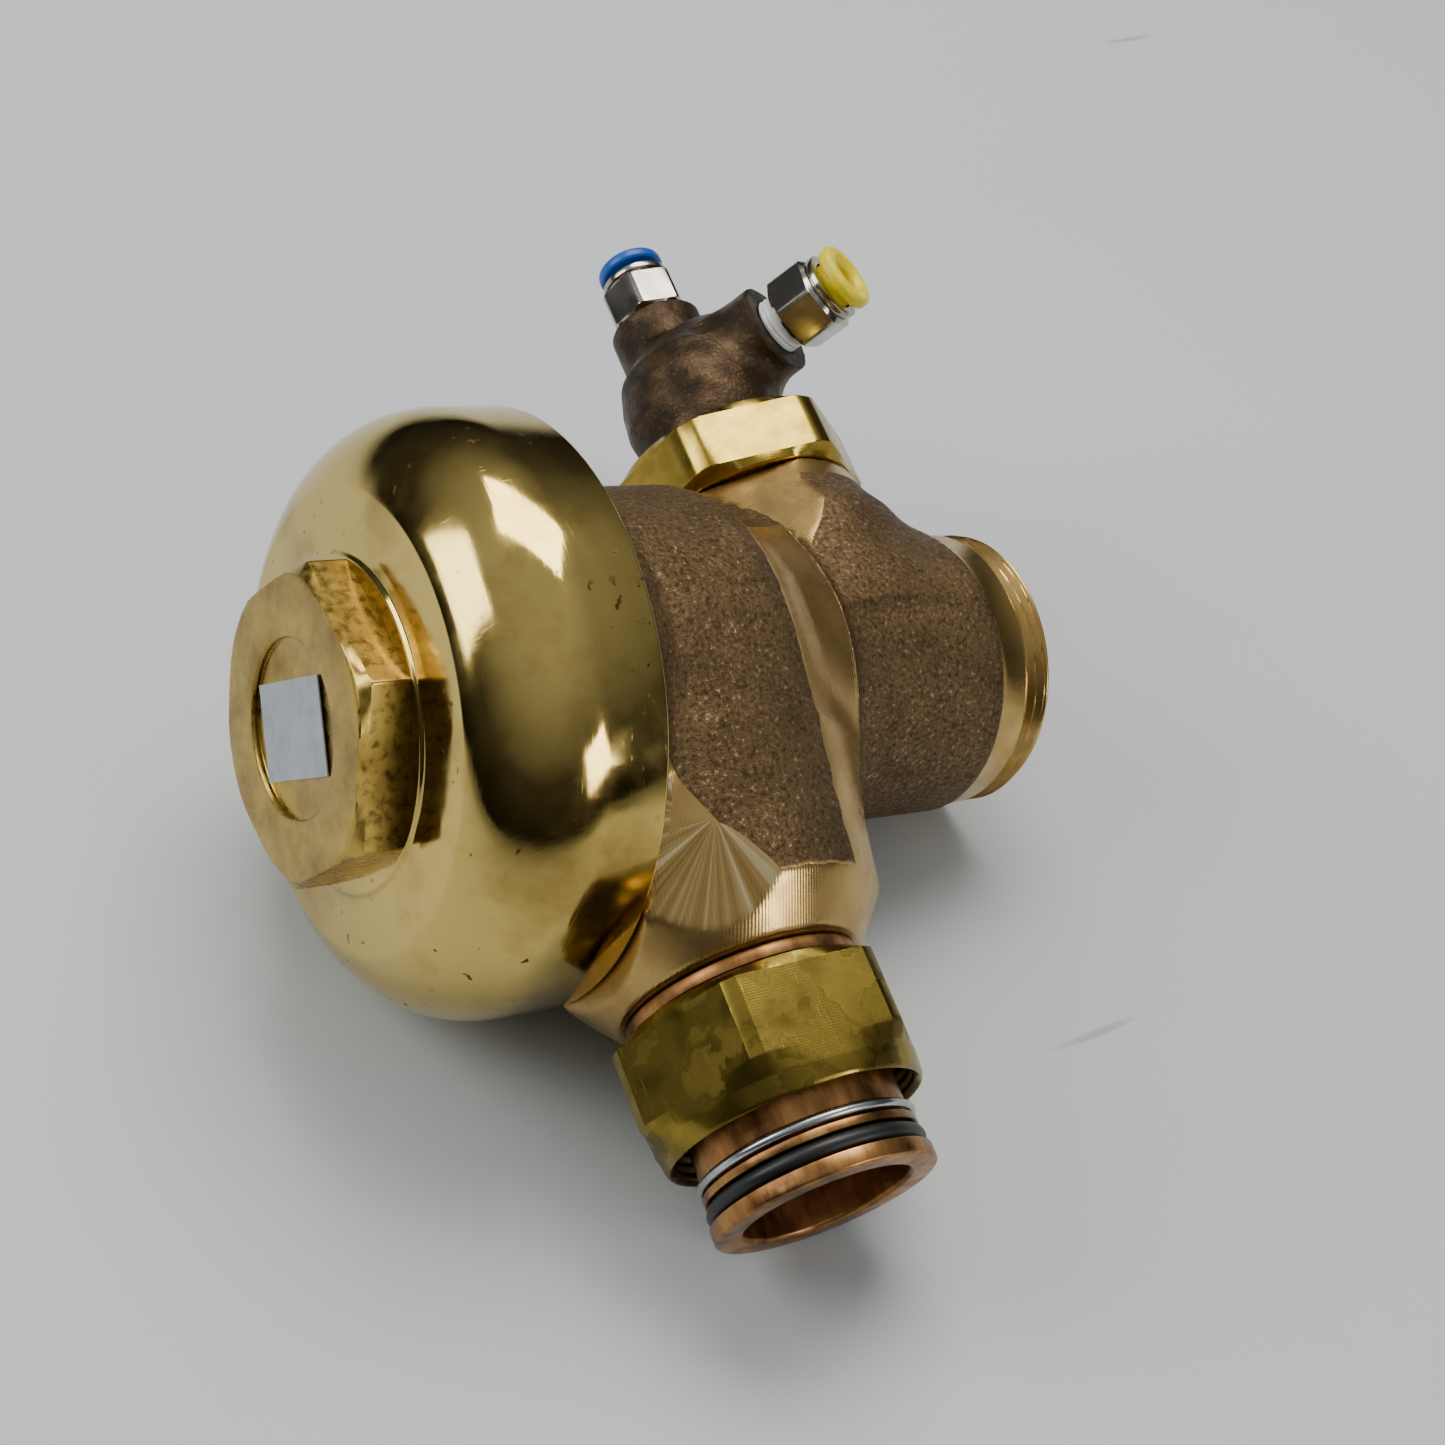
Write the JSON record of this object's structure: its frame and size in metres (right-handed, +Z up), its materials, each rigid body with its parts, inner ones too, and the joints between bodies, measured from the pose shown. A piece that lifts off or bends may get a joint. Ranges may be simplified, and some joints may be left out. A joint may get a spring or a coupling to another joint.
{
  "type": "diaphragm flush valve",
  "caption": "Exposed brass diaphragm flush valve with a domed cover, threaded outlet, inlet tail with loose coupling nut and a fluid actuator with push-in tube fittings.",
  "frame": {"origin": "middle of the footprint's box, on the bench that the valve lies on", "axes": "+Z up from the bench; +X is the valve's main axis from cover to outlet seen from above; the inlet tail points to -Y and the actuator to +Y"},
  "size_m": [0.1478, 0.202, 0.1016],
  "materials": {
    "cast_bronze": "rough as-cast surface with fine grain, machined faces turned bright",
    "dark_cast_bronze": "rough cast, dark brown oxidised skin",
    "polished_brass": "mirror polish with fine scratches and small tarnish spots",
    "turned_brass": "fine turned lines",
    "nut_brass": "machined, with dark water stains",
    "red_brass": "copper brown, stained and lightly scratched",
    "stainless_steel": "smooth",
    "nickel_plate": "bright plated, lightly worn",
    "black_rubber": "smooth moulded",
    "black_plastic": "moulded",
    "blue_plastic": "moulded",
    "green_plastic": "moulded",
    "yellow_plastic": "moulded",
    "ptfe_tape": "thin wound tape, dull white",
    "label_vinyl": "blank grey printed vinyl"
  },
  "bodies": {
    "valve": {"valve_body": "cast_bronze", "outlet_end": "turned_brass", "main_seat_barrel": "turned_brass", "main_seat_ring": "turned_brass", "outside_cover": "polished_brass", "label_plate": "label_vinyl", "inside_cover": "black_plastic", "diaphragm_rubber": "black_rubber", "inlet_tail": "red_brass", "tail_snap_ring": "stainless_steel", "tail_o_ring": "black_rubber", "actuator_coupling_nut": "nut_brass", "plunger_bushing": "turned_brass", "bushing_o_ring": "black_rubber", "actuator_gasket": "black_rubber", "actuator_housing": "dark_cast_bronze", "plunger_spring": "stainless_steel", "blue_fitting_body": "nickel_plate", "blue_tube_o_ring": "black_rubber", "blue_grab_ring": "stainless_steel", "blue_thread_tape": "ptfe_tape", "yellow_fitting_body": "nickel_plate", "yellow_tube_o_ring": "black_rubber", "yellow_grab_ring": "stainless_steel", "yellow_thread_tape": "ptfe_tape"},
    "stop_nut": {"stop_coupling_nut": "nut_brass"},
    "piston": {"plunger": "stainless_steel", "actuator_piston": "turned_brass", "piston_seal": "black_rubber"},
    "diaphragm_assembly": {"diaphragm_clamp_disc": "stainless_steel", "diaphragm_guide": "blue_plastic", "refill_ring": "green_plastic"},
    "relief_valve": {"relief_valve_disc": "black_plastic", "relief_valve_stem": "stainless_steel", "stem_sleeve": "black_plastic"},
    "blue_collar": {"blue_release_collar": "blue_plastic"},
    "yellow_collar": {"yellow_release_collar": "yellow_plastic"}
  },
  "joints": [
    {"name": "stop_nut_slide", "type": "slide", "parent": "valve", "child": "stop_nut", "axis": [-0.0633, -0.9666, -0.2483], "range_m": [0, 0.0205]},
    {"name": "piston_stroke", "type": "slide", "parent": "valve", "child": "piston", "axis": [-0.0633, -0.9666, -0.2483], "range_m": [0, 0.005], "stiffness_N_per_m": 800, "deforming": ["plunger_spring"]},
    {"name": "diaphragm_lift", "type": "slide", "parent": "valve", "child": "diaphragm_assembly", "axis": [-0.969, 0, 0.247], "range_m": [0, 0.006], "stiffness_N_per_m": 60, "deforming": ["diaphragm_rubber"]},
    {"name": "relief_tilt", "type": "hinge", "parent": "diaphragm_assembly", "child": "relief_valve", "pos_m": [-0.04418, 0.00391, 0.05488], "axis": [-0.2388, 0.2562, -0.9367], "range_deg": [0, 3.3]},
    {"name": "blue_collar_press", "type": "slide", "parent": "valve", "child": "blue_collar", "axis": [-0.0633, -0.9666, -0.2483], "range_m": [0, 0.0012], "stiffness_N_per_m": 400},
    {"name": "yellow_collar_press", "type": "slide", "parent": "valve", "child": "yellow_collar", "axis": [-0.6394, 0.2303, -0.7336], "range_m": [0, 0.0012], "stiffness_N_per_m": 400}
  ],
  "couplings": [
    {"joint": "relief_tilt", "follows": "piston_stroke", "rad_per_m": 11.25}
  ]
}
